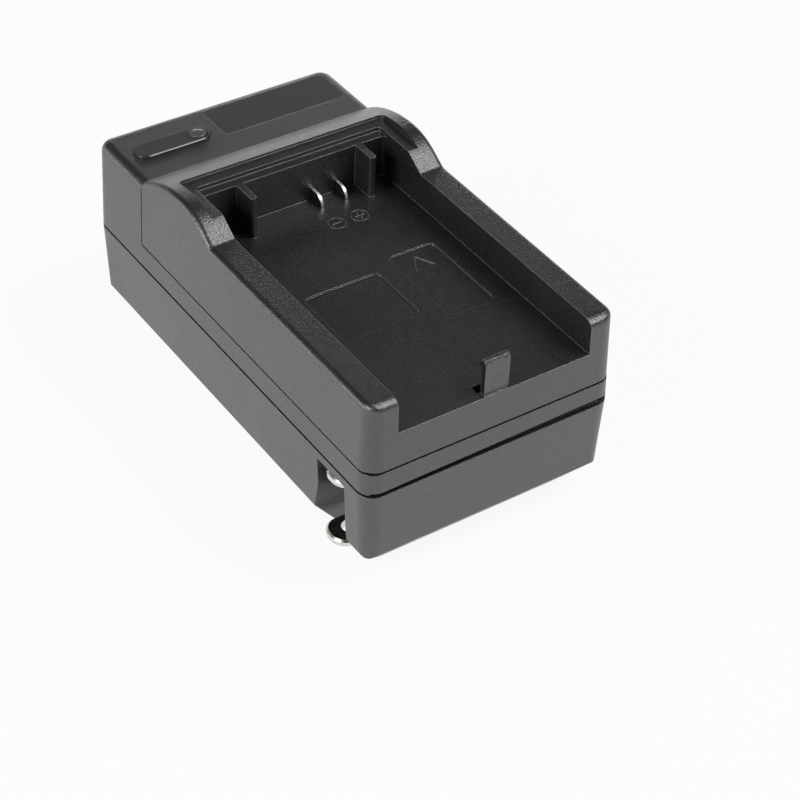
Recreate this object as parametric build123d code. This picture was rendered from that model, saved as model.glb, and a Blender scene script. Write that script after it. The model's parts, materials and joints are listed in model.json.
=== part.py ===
from build123d import *
from math import atan, cos, degrees, hypot, radians, sin, tan
import os

# A plug-in charger for a flat camera battery, in millimetres.
# X is the width, Y runs from the latch end to the indicator end, Z is up.
# The origin is the centre of the underside. The plug is modelled folded away.

# Case outline
case_width = 48.0
case_length = 88.3
corner_radius = 3.0
smallest_corner_radius = 1.2
underside_corner_radius = 1.6
lower_draft = 2.7
upper_draft = 1.9
wall = 1.6
fit_gap = 0.15

# Heights, each counted from the one below it
crease_height = 6.0
lower_wall_height = 13.1
band_height = 4.5
floor_rise = 6.95
wing_rise = 6.35
shelf_rise = 2.5
crest_rise = 1.3
bar_drop = 0.8
block_rise = 12.8
lower_top = crease_height + lower_wall_height
plate_z = lower_top + band_height
floor_z = plate_z + floor_rise
wing_z = floor_z + wing_rise
shelf_z = wing_z + shelf_rise
crest_z = shelf_z + crest_rise
bar_z = shelf_z - bar_drop
block_z = plate_z + block_rise
above_all = crest_z + 10.0

# Seams between the mouldings
seam_gap = 0.45
front_seam_gap_left = 0.8
front_seam_gap_right = 1.5
plate_gap = 0.3
plate_front_gap = 0.45
tongue_height = 1.5
tongue_thickness = 0.7
flange_thickness = 1.2
flange_reach = 3.2
lip_height = 1.2
lip_thickness = 0.8

# Lower shell
facet_inset = 4.9
label_recess = 0.3
label_thickness = 0.25
label_margin = 1.0

# Battery plate
block_length = 16.4
back_wall_setback = 11.8
crest_setback = 13.6
pocket_width = 36.7
bar_depth = 1.85
shelf_depth = 2.4
shelf_width = 2.1
pocket_corner_radius = 0.8
shelf_corner_radius = 1.2
shoulder_radius = 12.0
facet_slope = 33.0
foot_radius = 1.2
wing_front_radius = 2.5
plate_floor_thickness = 1.9
plate_edge_radius = 1.1
rib_depth = 1.6
rib_spacing = 13.0
post_left_x = -10.9
post_right_x = 12.9
post_thickness = 1.3
post_reach = 4.9

# Recesses in the pocket floor, measured from the back wall
mark_recess_depth = 0.3
recess_corner_radius = 1.2
wide_recess_x = -5.8
wide_recess_setback = 23.65
wide_recess_width = 14.6
wide_recess_length = 13.0
arrow_recess_x = 9.6
arrow_recess_setback = 21.2
arrow_recess_width = 9.0
arrow_recess_length = 18.7

# Latch
latch_width = 4.6
latch_x = 0.25
latch_height = 6.6
latch_thickness = 1.1
latch_barb = 0.8
latch_barb_height = 1.8
latch_hole_length = 1.8
latch_slit = 0.5
latch_setback = 0.35

# Battery contacts
contact_minus_x = 3.6
contact_plus_x = 8.5
contact_thickness = 0.5
contact_reach = 3.3
contact_rise = 2.1
contact_nose_radius = 2.0
contact_stem_length = 2.2
contact_slot_gap = 0.1

# Indicator block
block_edge_radius = 1.8
window_side_gap = 3.8
window_length = 14.6
window_width = 4.3
window_setback = 8.5
window_rise = 0.4
lens_radius = 1.55
lens_gap = 0.1
lens_height = 0.3
lens_flange = 0.6
lens_flange_height = 0.6
top_label_side_gap = 3.0
top_label_window_gap = 2.0
top_label_length = 8.8
top_label_back_gap = 2.3
top_label_thickness = 0.12
top_label_radius = 0.8

# Folding plug
blade_pitch = 12.7
blade_width = 6.35
blade_thickness = 1.5
blade_reach = 25.0
blade_tip_radius = 2.8
blade_hole_radius = 1.55
blade_hole_setback = 4.0
blade_tip_inset = 0.4
blade_ground_gap = 2.05
plug_end_setback = 11.0
carrier_cover = 0.9
carrier_cheek = 1.425
carrier_flush_gap = 0.65
carrier_edge_radius = 1.0
plug_clearance = 0.35
stub_radius = 2.0
stub_running_gap = 0.06
stub_overhang = 0.15
pin_radius = 0.8
web_width = 2.2
web_thickness = 1.2
notch_front_gap = 1.225
notch_rear_gap = 0.375
flare_start = 2.6
flare_end = 8.8
rear_flare_start = 5.0
rear_flare_end = 13.0
well_wall = 1.5
channel_wall = 2.0
cover_thickness = 1.4
cover_gap = 0.1
cover_ear_radius = 1.9
cover_ear_setback = 1.3
cover_ear_spread = 6.2

# Plug contact springs and detent
strip_thickness = 0.3
strip_width = 3.0
strip_gap = 0.2
strip_foot = 2.0
detent_width = 5.0
detent_gap = 0.2
detent_bulge_radius = 1.9
detent_groove_depth = 0.4

# Circuit board
board_headroom = 0.3
board_thickness = 1.6
board_side_margin = 1.7
board_end_margin = 1.2
standoff_radius = 2.2
standoff_side_gap = 6.4
standoff_y = 6.0

# Screws
screw_side_gap = 9.4
front_screw_setback = 22.65
rear_screw_setback = 9.65
screw_radius = 1.15
screw_head_radius = 2.1
screw_head_height = 1.5
screw_bite = 3.2
boss_radius = 2.7
boss_floor_height = 8.0
small_screw_radius = 0.9
small_head_radius = 1.7
small_head_height = 1.1
small_screw_length = 5.0
screw_clearance = 0.15
thread_gap = 0.05

# Parts on the board, each place as centre X and centre Y
transformer_place = (2.5, 12.0)
core_width = 16.0
core_depth = 5.0
core_height = 14.0
core_leg = 4.0
core_yoke = 3.0
bobbin_flange = 1.0
bobbin_tube = 0.7
winding_depth = 11.0
input_capacitor_side_gap = 13.5
input_capacitor_y = -10.5
input_capacitor_radius = 5.0
input_capacitor_height = 15.0
output_capacitor_x = 6.0
output_capacitor_end_gap = 15.65
output_capacitor_radius = 4.0
output_capacitor_height = 12.0
fuse_x = 11.5
fuse_plug_spacing = 19.65
fuse_radius = 1.7
fuse_length = 7.0
fuse_drop = 1.2
bridge_place = (0.0, -13.0)
bridge_size = (4.7, 6.5, 2.3)
chip_place = (-3.0, 1.0)
chip_size = (4.9, 3.9, 1.6)
chip_leg_reach = 1.1
transistor_place = (2.5, -3.5)
transistor_radius = 2.4
transistor_height = 4.8
lead_radius = 0.35
lamp_radius = 1.5
lamp_body = 4.2
lamp_flange = 0.4
lamp_gap = 0.5
lead_pitch = 2.54

os.makedirs("parts", exist_ok=True)

# Places worked out from the sizes above
half_case = case_width / 2
front_end = -case_length / 2
rear_end = case_length / 2
seam_y = rear_end - block_length
back_wall_y = seam_y - back_wall_setback
bar_rear_y = back_wall_y + bar_depth
shelf_rear_y = bar_rear_y + shelf_depth
shelf_half_width = pocket_width / 2 + shelf_width
crest_y = seam_y - crest_setback
board_top = plate_z - flange_thickness - board_headroom
board_z = board_top - board_thickness
plug_x = -half_case + blade_tip_inset + blade_reach
plug_y = front_end + plug_end_setback
plug_z = blade_ground_gap + (blade_thickness + blade_pitch) / 2
carrier_radius = (blade_pitch + blade_thickness) / 2 + carrier_cover
carrier_face = plug_z - carrier_flush_gap
carrier_width = blade_width + 2 * carrier_cheek
notch_front_y = plug_y - blade_width / 2 - notch_front_gap
notch_rear_y = plug_y + blade_width / 2 + notch_rear_gap
well_half_width = carrier_width / 2 + plug_clearance
well_sweep = hypot(carrier_face, carrier_radius) + plug_clearance
well_left = plug_x - well_sweep
well_right = plug_x + carrier_radius + plug_clearance
well_top = plug_z + carrier_radius + plug_clearance
bearing_half_span = well_half_width + well_wall
stub_half_span = bearing_half_span + stub_overhang
ear_y = plug_y + bearing_half_span + cover_ear_setback
ear_spots = [(plug_x + side * cover_ear_spread, ear_y) for side in (-1, 1)]
screw_x = half_case - screw_side_gap
front_spots = [(side * screw_x, front_end + front_screw_setback) for side in (-1, 1)]
rear_spots = [(side * screw_x, rear_end - rear_screw_setback) for side in (-1, 1)]
screw_spots = front_spots + rear_spots
standoff_spots = [(side * (half_case - standoff_side_gap), standoff_y) for side in (-1, 1)]
window_x = -half_case + window_side_gap + window_length / 2
window_y = rear_end - window_setback
lens_place = (window_x + (window_length - window_width) / 2, window_y)
input_capacitor_place = (-half_case + input_capacitor_side_gap, input_capacitor_y)
output_capacitor_place = (output_capacitor_x, rear_end - output_capacitor_end_gap)
fuse_place = (fuse_x, plug_y + fuse_plug_spacing)


def box(x_limits, y_limits, z_limits):
    """A block between pairs of limits."""
    limits = (x_limits, y_limits, z_limits)
    centre = [(low + high) / 2 for low, high in limits]
    size = [high - low for low, high in limits]
    return Pos(*centre) * Box(*size)


def post(place, radius, z_limits):
    """An upright cylinder at a place in X and Y."""
    low, high = z_limits
    return Pos(place[0], place[1], low) * extrude(Circle(radius), high - low)


def half_size(z):
    """Half width and half length of the outer walls at a height."""
    draft = lower_draft if z < lower_top else upper_draft
    inset = abs(z - lower_top) * tan(radians(draft))
    return case_width / 2 - inset, case_length / 2 - inset


def section(z, inset):
    """Rounded outline of the case at a height, moved inwards by an inset."""
    half_width, half_length = half_size(z)
    radius = max(smallest_corner_radius, corner_radius - inset)
    outline = RectangleRounded(2 * (half_width - inset), 2 * (half_length - inset), radius)
    return Pos(0, 0, z) * outline


def upper_solid(low, high, inset=0.0):
    """The case above its seam, as one drafted block between two heights."""
    return extrude(section(low, inset), high - low, taper=upper_draft)


def lower_solid(low, inset=0.0):
    """The case below its seam: a drafted block whose lower part slopes in on all sides."""
    drafted = extrude(section(lower_top, inset), low - lower_top, taper=lower_draft)
    half_width, half_length = half_size(crease_height)
    slope = facet_inset / crease_height
    top = lower_top + slope
    outline = Rectangle(2 * (half_width - inset - facet_inset), 2 * (half_length - inset - facet_inset))
    frustum = extrude(outline, top, taper=-degrees(atan(slope)))
    ridges = frustum.edges().filter_by(Plane.XY, reverse=True)
    return drafted & fillet(ridges, underside_corner_radius)


def rim(z_limits, outer_inset, inner_inset, level):
    """An upright rim between two insets from the case outline at a level."""
    low, high = z_limits
    outline = section(level, outer_inset) - section(level, inner_inset)
    return Pos(0, 0, low - level) * extrude(outline, high - low)


def side_extrusion(lines, half_width):
    """A solid with an outline in Y and Z, the same on both sides of X = 0."""
    return extrude(Plane.YZ * make_face(lines), half_width, both=True)


def front_extrusion(lines, y_limits):
    """A solid with an outline in X and Z between two Y limits."""
    low, high = y_limits
    face = Plane.XZ * make_face(lines)
    return Pos(0, (low + high) / 2, 0) * extrude(face, (high - low) / 2, both=True)


def save(shape, name, label_color):
    """Write one sub-part and keep its name on it."""
    shape.label = name
    shape.color = Color(*label_color)
    export_step(shape, f"parts/{name}.step")
    return shape


# Plug

def carrier_blank():
    """Turning block of the plug: a half-round back and a flat face for the blades."""
    back = Pos(plug_x, 0) * Circle(carrier_radius)
    front = Pos(plug_x - carrier_face / 2, 0) * Rectangle(carrier_face, 2 * carrier_radius)
    front = fillet(front.vertices().group_by(Axis.X)[0], carrier_edge_radius)
    profile = Pos(0, plug_z) * (back + front)
    body = Pos(0, plug_y, 0) * extrude(Plane.XZ * profile, carrier_width / 2, both=True)
    groove_reach = carrier_radius + detent_bulge_radius - detent_groove_depth
    for groove_x, groove_z in ((groove_reach, 0), (0, groove_reach)):
        groove = Rot(90, 0, 0) * Cylinder(detent_bulge_radius, carrier_width + 1)
        body -= Pos(plug_x + groove_x, plug_y, plug_z + groove_z) * groove
    stubs = Pos(plug_x, plug_y, plug_z) * Rot(90, 0, 0) * Cylinder(stub_radius, 2 * stub_half_span)
    return body + stubs


def blade(side):
    """One flat blade with its bevelled tip, hole, inner web and end pin."""
    z = plug_z + side * blade_pitch / 2
    half_width = blade_width / 2
    tip = plug_x - blade_reach
    root = plug_x - web_thickness / 2
    plate = box((tip, root), (plug_y - half_width, plug_y + half_width),
                (z - blade_thickness / 2, z + blade_thickness / 2))
    plate = fillet(plate.edges().filter_by(Axis.Z).group_by(Axis.X)[0], blade_tip_radius)
    plate = chamfer(plate.edges().filter_by(Axis.Y).group_by(Axis.X)[0], blade_thickness / 4)
    plate -= post((tip + blade_hole_setback, plug_y), blade_hole_radius, (0, above_all))
    inner_y = plug_y - side * pin_radius
    outer_y = inner_y - side * web_width
    web_z = sorted((z + side * blade_thickness / 2, plug_z - side * pin_radius))
    half_web = web_thickness / 2
    web = box((plug_x - half_web, plug_x + half_web), sorted((inner_y, outer_y)), web_z)
    pin_end = plug_y - side * stub_half_span
    pin_length = abs(pin_end - outer_y) + web_width / 2
    pin_centre = (pin_end + outer_y + side * web_width / 2) / 2
    pin = Pos(plug_x, pin_centre, plug_z) * Rot(90, 0, 0) * Cylinder(pin_radius, pin_length)
    return plate + web + pin


blade_upper = blade(1)
blade_lower = blade(-1)
carrier = carrier_blank() - blade_upper - blade_lower


# Lower shell

def channel_cut():
    """The slot for the blades: flared at the underside, narrow at the side wall."""
    well_front_y, well_rear_y = plug_y - well_half_width, plug_y + well_half_width
    front_low, front_high = (well_front_y, flare_start), (notch_front_y, flare_end)
    rear_low, rear_high = (well_rear_y, rear_flare_start), (notch_rear_y, rear_flare_end)
    outline = [
        Line((well_front_y, -1), front_low),
        Spline(front_low, front_high, tangents=[(0, 1), (0, 1)]),
        Polyline(front_high, (notch_front_y, well_top), (notch_rear_y, well_top), rear_high),
        Spline(rear_high, rear_low, tangents=[(0, -1), (0, -1)]),
        Polyline(rear_low, (well_rear_y, -1), (well_front_y, -1)),
    ]
    solid = extrude(Plane.YZ * make_face(outline), case_width + well_left)
    return Pos(-case_width, 0, 0) * solid


def lower_shell_part():
    """Bottom moulding with the plug well, screw bosses and board standoffs."""
    outer = lower_solid(0)
    shell = outer - lower_solid(wall, wall)
    shell += rim((lower_top, lower_top + tongue_height), wall - tongue_thickness, wall, lower_top)
    well_y = (plug_y - bearing_half_span, plug_y + bearing_half_span)
    well_walls = box((well_left - well_wall, well_right + well_wall), well_y, (0, well_top))
    channel_y = (plug_y - well_half_width - channel_wall, plug_y + well_half_width + channel_wall)
    channel_walls = box((-case_width / 2, well_left), channel_y, (0, lower_top))
    posts = well_walls + channel_walls
    for spot in screw_spots:
        posts += post(spot, boss_radius, (0, lower_top))
    for spot in standoff_spots:
        posts += post(spot, standoff_radius, (0, lower_top))
        shell += post(spot, standoff_radius, (lower_top, board_z))
    for spot in ear_spots:
        posts += post(spot, cover_ear_radius, (0, well_top))
    shell += posts & outer
    well_inside_y = (plug_y - well_half_width, plug_y + well_half_width)
    shell -= box((well_left, well_right), well_inside_y, (-1, above_all))
    shell -= channel_cut()
    for side in (-1, 1):
        span = sorted((plug_y + side * (well_half_width - 1), plug_y + side * (bearing_half_span + 1)))
        slot_half = stub_radius + stub_running_gap
        bearing = Pos(plug_x, sum(span) / 2, plug_z) * Rot(90, 0, 0) * Cylinder(slot_half, span[1] - span[0])
        slot = box((plug_x - slot_half, plug_x + slot_half), span, (plug_z, above_all))
        shell -= bearing + slot
    window = detent_width / 2 + fit_gap
    window_rise = detent_bulge_radius + fit_gap
    shell -= box((well_right - 1, well_right + well_wall + 1), (plug_y - window, plug_y + window),
                 (plug_z - window_rise, plug_z + window_rise))
    for side in (-1, 1):
        inner_y = plug_y + side * (detent_width / 2 + fit_gap)
        rib_y = sorted((inner_y, inner_y + side * well_wall))
        rib_x = (well_right + well_wall, well_right + 2 * well_wall)
        shell += box(rib_x, rib_y, (wall, well_top))
    for spot in screw_spots:
        shell -= post(spot, screw_head_radius + screw_clearance, (-1, boss_floor_height))
        shell -= post(spot, screw_radius + screw_clearance, (-1, above_all))
    for spot in standoff_spots:
        shell -= post(spot, small_screw_radius, (board_z - small_screw_length, above_all))
    for spot in ear_spots:
        shell -= post(spot, small_screw_radius, (well_top - small_screw_length, well_top + 1))
    shell -= Pos(0, 0, -1) * extrude(label_outline(0), 1 + label_recess)
    return shell


def label_outline(gap):
    """Outline of the underside label, behind the plug well."""
    half_width, half_length = half_size(0)
    half_width = half_width - facet_inset - label_margin - gap
    rear_y = half_length - facet_inset - label_margin - gap
    front_y = plug_y + well_half_width + well_wall + gap
    centre_y = (rear_y + front_y) / 2
    return Pos(0, centre_y) * RectangleRounded(2 * half_width, rear_y - front_y, underside_corner_radius)


def plug_cover_part():
    """Screwed lid of the plug well, with two fingers that close the bearing slots."""
    half_span = bearing_half_span
    lid_x = (well_left + cover_gap, well_right + well_wall)
    lid_z = (well_top, well_top + cover_thickness)
    lid = box(lid_x, (plug_y - half_span, plug_y + half_span), lid_z)
    for spot in ear_spots:
        lid += box((spot[0] - cover_ear_radius, spot[0] + cover_ear_radius), (plug_y, spot[1]), lid_z)
        lid += post(spot, cover_ear_radius, lid_z)
        lid -= post(spot, small_screw_radius + screw_clearance, (0, above_all))
    finger_half = stub_radius - cover_gap
    for side in (-1, 1):
        y_limits = sorted((plug_y + side * well_half_width, plug_y + side * half_span))
        lid += box((plug_x - finger_half, plug_x + finger_half), y_limits, (plug_z, well_top))
    bore = Rot(90, 0, 0) * Cylinder(stub_radius + stub_running_gap, 4 * half_span)
    lid -= Pos(plug_x, plug_y, plug_z) * bore
    return lid


# Upper shell

def upper_shell_part():
    """Top moulding: the indicator block and the band that carries the battery plate."""
    low = lower_top + seam_gap
    outer = upper_solid(low, block_z)
    outer = fillet(outer.faces().sort_by(Axis.Z)[-1].edges(), block_edge_radius)
    inner = upper_solid(lower_top, block_z - wall, wall)
    shell = outer - inner
    ahead_of_block = box((-case_width, case_width), (-case_length, seam_y), (0, above_all))
    shell -= box((-case_width, case_width), (-case_length, seam_y), (plate_z, above_all))
    flange_z = (plate_z - flange_thickness, plate_z)
    flange = rim(flange_z, wall / 2, wall / 2 + flange_reach, plate_z)
    lip_inset = wall + fit_gap
    lip_z = (plate_z - flange_thickness / 2, plate_z + lip_height)
    lip = rim(lip_z, lip_inset, lip_inset + lip_thickness, plate_z)
    shell += (flange + lip) & ahead_of_block
    shell += box((-case_width, case_width), (seam_y, seam_y + wall), flange_z) & inner
    rebate_z = (low - 1, lower_top + tongue_height + fit_gap)
    shell -= rim(rebate_z, wall - tongue_thickness - fit_gap, wall + 1, lower_top)
    for spot in front_spots:
        ear = box(sorted((spot[0], spot[0] * 2)), (spot[1] - boss_radius, spot[1] + boss_radius), flange_z)
        shell += ear & upper_solid(lower_top, block_z, wall / 2)
        shell += post(spot, boss_radius, (lower_top, plate_z))
        shell -= post(spot, screw_radius + screw_clearance, (0, above_all))
    for spot in rear_spots:
        boss_top = plate_z + screw_bite + wall
        gusset = box(sorted((spot[0], spot[0] * 2)), (spot[1] - wall / 2, spot[1] + wall / 2),
                     (lower_top + 2 * tongue_height, boss_top))
        shell += gusset & upper_solid(lower_top, block_z, wall / 2)
        shell += post(spot, boss_radius, (lower_top, boss_top))
        shell -= post(spot, screw_radius, (0, boss_top - wall / 2))
    shell -= front_gap_wedge(low)
    shell -= Pos(0, 0, block_z - 2 * wall) * extrude(window_outline(lens_gap), above_all)
    shell -= Pos(0, 0, block_z - top_label_thickness) * extrude(top_label_outline(0), above_all)
    return shell


def front_gap_wedge(low):
    """The seam's reveal along the front, which widens towards +X."""
    outline = Polyline((-half_case, low - 1), (half_case, low - 1),
                       (half_case, lower_top + front_seam_gap_right),
                       (-half_case, lower_top + front_seam_gap_left), close=True)
    return front_extrusion(outline, (-case_length, front_end + wall - tongue_thickness))


def window_outline(gap):
    """Long rounded outline of the indicator window, widened by a gap."""
    return Pos(window_x, window_y) * SlotOverall(window_length + 2 * gap, window_width + 2 * gap)


def charge_window_part():
    """Long window insert that stands proud of the block, with a flange below the roof."""
    roof_underside = block_z - wall
    base_z = roof_underside - lens_flange_height
    body = Pos(0, 0, base_z) * extrude(window_outline(0), block_z + window_rise - base_z)
    body = chamfer(body.faces().sort_by(Axis.Z)[-1].edges(), window_rise / 2)
    body += Pos(0, 0, base_z) * extrude(window_outline(lens_flange), lens_flange_height)
    return body - post(lens_place, lens_radius + lens_gap, (plate_z, above_all))


def top_label_outline(gap):
    """Outline of the plain label on the block."""
    left_x = window_x + window_length / 2 + top_label_window_gap
    right_x = half_case - top_label_side_gap
    centre_y = rear_end - top_label_back_gap - top_label_length / 2
    outline = RectangleRounded(right_x - left_x - 2 * gap, top_label_length - 2 * gap, top_label_radius)
    return Pos((left_x + right_x) / 2, centre_y) * outline


def charge_lens_part():
    """Clear button over the indicator lamp, with a flange below the window insert."""
    flange_top = block_z - wall - lens_flange_height
    top = block_z + window_rise + lens_height
    stem = post(lens_place, lens_radius, (flange_top, top))
    stem = chamfer(stem.edges().filter_by(GeomType.CIRCLE).sort_by(Axis.Z)[-1], lens_height)
    return stem + post(lens_place, lens_radius + lens_flange, (flange_top - lens_flange_height, flange_top))


# Battery plate

def plate_outline():
    """Side outline: rear slope, crest, facet down to the wings, and the rounded front."""
    crest, rear = (crest_y, crest_z), (seam_y, block_z)
    slope = radians(facet_slope)
    facet_top = (crest_y - shoulder_radius * sin(slope), crest_z - shoulder_radius * (1 - cos(slope)))
    foot_y = facet_top[0] - (facet_top[1] - wing_z) / tan(slope)
    front_y = front_end + 0.05
    front = FilletPolyline(facet_top, (foot_y, wing_z), (front_y, wing_z), (front_y, plate_z - 5),
                           radius=[foot_radius, wing_front_radius])
    base = Polyline((front_y, plate_z - 5), (seam_y, plate_z - 5), rear)
    rear_slope = TangentArc(crest, rear, tangent=(1, 0))
    front_slope = TangentArc(crest, facet_top, tangent=(-1, 0))
    return [rear_slope, front_slope, front, base]


def plate_blank():
    """Outer form of the plate before its pocket is cut."""
    form = upper_solid(plate_z + plate_gap, above_all) & side_extrusion(plate_outline(), case_width)
    form -= box((-case_width, case_width), (seam_y - plate_gap, case_length), (0, above_all))
    return form


def pocket(half_width, rear_y, floor, radius):
    """A cut that is open at the front and the top, with rounded rear corners."""
    length = case_length
    outline = Pos(0, rear_y - length / 2) * RectangleRounded(2 * half_width, length, radius)
    return Pos(0, 0, floor) * extrude(outline, above_all)


def plate_hollow():
    """The space inside the plate: below the floor, in both wings and behind the back wall."""
    inside = upper_solid(lower_top, above_all, wall)
    floor_underside = floor_z - plate_floor_thickness
    under_floor = box((-case_width, case_width), (-case_length, case_length), (0, floor_underside))
    wing_x = pocket_width / 2 + wall
    wings = box((-case_width, case_width), (front_end + 2 * wall, back_wall_y), (0, wing_z - wall))
    wings -= box((-wing_x, wing_x), (-case_length, case_length), (0, above_all))
    behind_y = back_wall_y + wall
    outline = Polyline((behind_y, 0), (behind_y, bar_z - wall), (shelf_rear_y, bar_z - wall),
                       (seam_y + 1, block_z - 1.5 * wall), (seam_y + 1, 0), close=True)
    behind = side_extrusion(outline, case_width)
    return inside & (under_floor + wings + behind)


def latch_part_of_plate():
    """Hook that holds the battery: a thin arm with a barb at its top."""
    half_width, half_length = half_size(floor_z)
    front = -half_length + latch_setback
    rear = front + latch_thickness
    top = floor_z + latch_height
    outline = Polyline(
        (front, floor_z - plate_floor_thickness),
        (front, top - latch_barb_height * 0.3),
        (front + 0.5, top),
        (rear, top),
        (rear + latch_barb, top - latch_barb_height * 0.55),
        (rear + latch_barb, top - latch_barb_height * 0.75),
        (rear, top - latch_barb_height),
        (rear, floor_z - plate_floor_thickness),
        close=True,
    )
    arm = Pos(latch_x, 0, 0) * side_extrusion(outline, latch_width / 2)
    low = floor_z - 2 * plate_floor_thickness
    hole = box((latch_x - latch_width / 2 - latch_slit, latch_x + latch_width / 2 + latch_slit),
               (rear, rear + latch_hole_length), (low, floor_z + 1))
    return arm, hole


def battery_plate_part():
    """Moulded plate with the bay, shoulders, ledge, posts and latch."""
    plate = plate_blank()
    plate = fillet(top_rim(plate), plate_edge_radius)
    front_lip = (front_end - 1, front_end + wall)
    plate -= box((-case_width, case_width), front_lip, (plate_z, plate_z + plate_front_gap))
    plate -= pocket(pocket_width / 2, back_wall_y, floor_z, pocket_corner_radius)
    plate -= pocket(pocket_width / 2, bar_rear_y, bar_z, pocket_corner_radius)
    plate -= pocket(shelf_half_width, shelf_rear_y, shelf_z, shelf_corner_radius)
    plate -= plate_hollow()
    for x in (post_left_x, post_right_x):
        tip_y = back_wall_y - post_reach
        guide = box((x - post_thickness / 2, x + post_thickness / 2), (tip_y, back_wall_y + wall / 2),
                    (floor_z - wall / 2, bar_z))
        nose = guide.edges().filter_by(Axis.Z).group_by(Axis.Y)[0]
        plate += fillet(nose, post_thickness * 0.4)
    arm, hole = latch_part_of_plate()
    plate = plate - hole + arm
    rib_y = back_wall_y - rib_spacing
    while rib_y > front_end + 3 * wall:
        rib = box((-pocket_width / 2, pocket_width / 2), (rib_y - wall / 2, rib_y + wall / 2),
                  (floor_z - plate_floor_thickness - rib_depth, floor_z - plate_floor_thickness / 2))
        plate += rib
        rib_y -= rib_spacing
    for spot in front_spots:
        plate += post(spot, boss_radius, (plate_z, floor_z - plate_floor_thickness / 2))
        plate -= post(spot, screw_radius, (0, floor_z - plate_floor_thickness))
    wide = RectangleRounded(wide_recess_width, wide_recess_length, recess_corner_radius)
    arrow = RectangleRounded(arrow_recess_width, arrow_recess_length, recess_corner_radius)
    wide_y = back_wall_y - wide_recess_setback - wide_recess_length / 2
    arrow_y = back_wall_y - arrow_recess_setback - arrow_recess_length / 2
    for outline in (Pos(wide_recess_x, wide_y) * wide, Pos(arrow_recess_x, arrow_y) * arrow):
        plate -= Pos(0, 0, floor_z - mark_recess_depth) * extrude(outline, mark_recess_depth + 1)
    for x in (contact_minus_x, contact_plus_x):
        half = contact_thickness / 2 + contact_slot_gap
        plate -= box((x - half, x + half), (back_wall_y - contact_reach - contact_slot_gap, back_wall_y),
                     (plate_z, floor_z + 1))
    return plate


def top_rim(plate):
    """The outer top edges of the plate, down both sides and round the front."""
    rim = []
    for edge in plate.edges():
        middle = edge @ 0.5
        half_width, half_length = half_size(middle.Z)
        near_side = abs(abs(middle.X) - half_width) < 0.35
        near_front = middle.Y < -half_length + corner_radius + 0.2
        if middle.Z > floor_z + 2 and (near_side or near_front) and middle.Y < seam_y - plate_gap - 0.01:
            if abs((edge % 0.5).Z) < 0.95:
                rim.append(edge)
    return rim


def contact_part(x):
    """Sheet-metal contact: a round-nosed fin in the bay and a stem down to the board."""
    nose_y = back_wall_y - contact_reach
    rear_y = back_wall_y - contact_slot_gap
    stem_y = back_wall_y - contact_stem_length
    top = floor_z + contact_rise
    bottom = floor_z - plate_floor_thickness
    fin = FilletPolyline((rear_y, top), (nose_y, top), (nose_y, bottom), radius=contact_nose_radius)
    rest = Polyline((nose_y, bottom), (stem_y, bottom), (stem_y, board_top), (rear_y, board_top),
                    (rear_y, top))
    return Pos(x, 0, 0) * side_extrusion([fin, rest], contact_thickness / 2)


# Inside the plug well

def plug_spring_part(side):
    """Bent strip from the board down to the end of a stub axle."""
    near = plug_y + side * (stub_half_span + strip_gap)
    far = near + side * strip_thickness
    foot = far - side * strip_foot
    low = plug_z - strip_width / 2
    outline = Polyline((far, low), (far, board_z), (foot, board_z), (foot, board_z - strip_thickness),
                       (near, board_z - strip_thickness), (near, low), close=True)
    return Pos(plug_x, 0, 0) * side_extrusion(outline, strip_width / 2)


def detent_spring_part():
    """Leaf behind the well's wall, with a bulge that presses on the turning block."""
    x = well_right + well_wall
    half = detent_width / 2
    leaf = box((x, x + strip_thickness), (plug_y - half, plug_y + half), (wall, well_top))
    bulge_x = plug_x + carrier_radius + detent_gap + detent_bulge_radius
    bulge = Pos(bulge_x, plug_y, plug_z) * Rot(90, 0, 0) * Cylinder(detent_bulge_radius, detent_width)
    bulge &= box((0, x + strip_thickness), (plug_y - half, plug_y + half), (0, above_all))
    return leaf + bulge


# Circuit board and what it carries

def circuit_board_part():
    """Board that lies on the standoffs, with holes round the screw bosses."""
    half_width, half_length = half_size(lower_top)
    size = (2 * (half_width - wall - board_side_margin), 2 * (half_length - wall - board_end_margin))
    board = Pos(0, 0, board_z) * extrude(RectangleRounded(*size, corner_radius), board_thickness)
    for spot in screw_spots:
        board -= post(spot, boss_radius + fit_gap * 2, (0, above_all))
    for spot in standoff_spots:
        board -= post(spot, small_screw_radius + screw_clearance, (0, above_all))
    return board


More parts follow.
